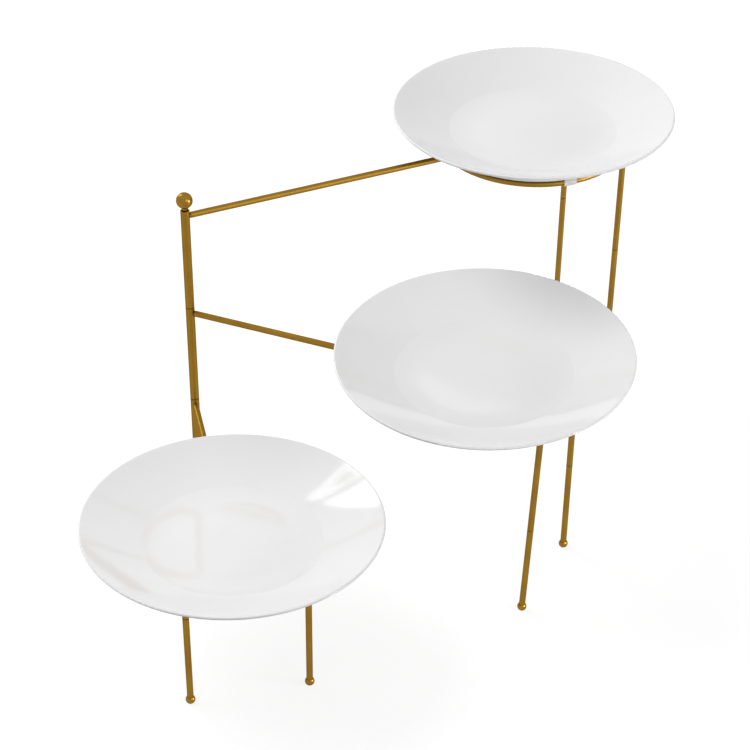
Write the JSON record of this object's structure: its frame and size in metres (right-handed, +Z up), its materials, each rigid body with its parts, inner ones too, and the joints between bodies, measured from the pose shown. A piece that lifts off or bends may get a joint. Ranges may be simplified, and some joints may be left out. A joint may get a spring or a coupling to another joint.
{
  "type": "tiered cake stand",
  "caption": "Tiered cake stand with round white plates on gold wire rings that swivel about a side post on nested arms and slim ball-footed legs.",
  "frame": {"origin": "on the post's axis at the flat under its ball foot, level with the table top", "axes": "+Z up along the post, about which the tiers swivel; +Y away from the picture's viewer and +X to the viewer's right, with the tiers fanned out as pictured"},
  "size_m": [0.5112, 0.5954, 0.3345],
  "materials": {
    "gold_paint": "satin antique-gold paint on steel rod and tube",
    "polished_gold": "polished gold ball",
    "steel_rod": "drawn steel rod in the same gold tone, shown only in the seams",
    "white_glaze": "glossy white glaze",
    "clear_silicone": "translucent silicone"
  },
  "bodies": {
    "post": {"spindle_rod": "steel_rod", "finial_ball": "polished_gold", "post_foot": "polished_gold"},
    "low_tier": {"low_pivot_sleeve": "gold_paint", "low_arm": "gold_paint", "low_support_ring": "gold_paint", "low_leg_left_stub": "gold_paint", "low_leg_left_bottom": "gold_paint", "low_leg_left_foot": "polished_gold", "low_leg_right_stub": "gold_paint", "low_leg_right_bottom": "gold_paint", "low_leg_right_foot": "polished_gold", "low_ring_bumper_1": "clear_silicone", "low_ring_bumper_2": "clear_silicone", "low_ring_bumper_3": "clear_silicone"},
    "low_dish": {"low_plate": "white_glaze"},
    "mid_tier": {"mid_pivot_sleeve": "gold_paint", "mid_arm": "gold_paint", "mid_support_ring": "gold_paint", "mid_leg_left_stub": "gold_paint", "mid_leg_left_extension_1": "gold_paint", "mid_leg_left_bottom": "gold_paint", "mid_leg_left_foot": "polished_gold", "mid_leg_right_stub": "gold_paint", "mid_leg_right_extension_1": "gold_paint", "mid_leg_right_bottom": "gold_paint", "mid_leg_right_foot": "polished_gold", "mid_ring_bumper_1": "clear_silicone", "mid_ring_bumper_2": "clear_silicone", "mid_ring_bumper_3": "clear_silicone"},
    "mid_dish": {"mid_plate": "white_glaze"},
    "top_tier": {"top_pivot_sleeve": "gold_paint", "top_arm": "gold_paint", "top_support_ring": "gold_paint", "top_leg_left_stub": "gold_paint", "top_leg_left_extension_1": "gold_paint", "top_leg_left_extension_2": "gold_paint", "top_leg_left_bottom": "gold_paint", "top_leg_left_foot": "polished_gold", "top_leg_right_stub": "gold_paint", "top_leg_right_extension_1": "gold_paint", "top_leg_right_extension_2": "gold_paint", "top_leg_right_bottom": "gold_paint", "top_leg_right_foot": "polished_gold", "top_ring_bumper_1": "clear_silicone", "top_ring_bumper_2": "clear_silicone", "top_ring_bumper_3": "clear_silicone"},
    "top_dish": {"top_plate": "white_glaze"}
  },
  "joints": [
    {"name": "low_tier_swivel", "type": "hinge", "parent": "post", "child": "low_tier", "pos_m": [0, 0, 0.102], "axis": [0, 0, 1], "continuous": true},
    {"name": "low_plate_lift", "type": "slide", "parent": "low_tier", "child": "low_dish", "axis": [0, 0, 1], "range_m": [0, 0.05]},
    {"name": "mid_tier_swivel", "type": "hinge", "parent": "post", "child": "mid_tier", "pos_m": [0, 0, 0.202], "axis": [0, 0, 1], "continuous": true},
    {"name": "mid_plate_lift", "type": "slide", "parent": "mid_tier", "child": "mid_dish", "axis": [0, 0, 1], "range_m": [0, 0.05]},
    {"name": "top_tier_swivel", "type": "hinge", "parent": "post", "child": "top_tier", "pos_m": [0, 0, 0.302], "axis": [0, 0, 1], "continuous": true},
    {"name": "top_plate_lift", "type": "slide", "parent": "top_tier", "child": "top_dish", "axis": [0, 0, 1], "range_m": [0, 0.05]}
  ]
}
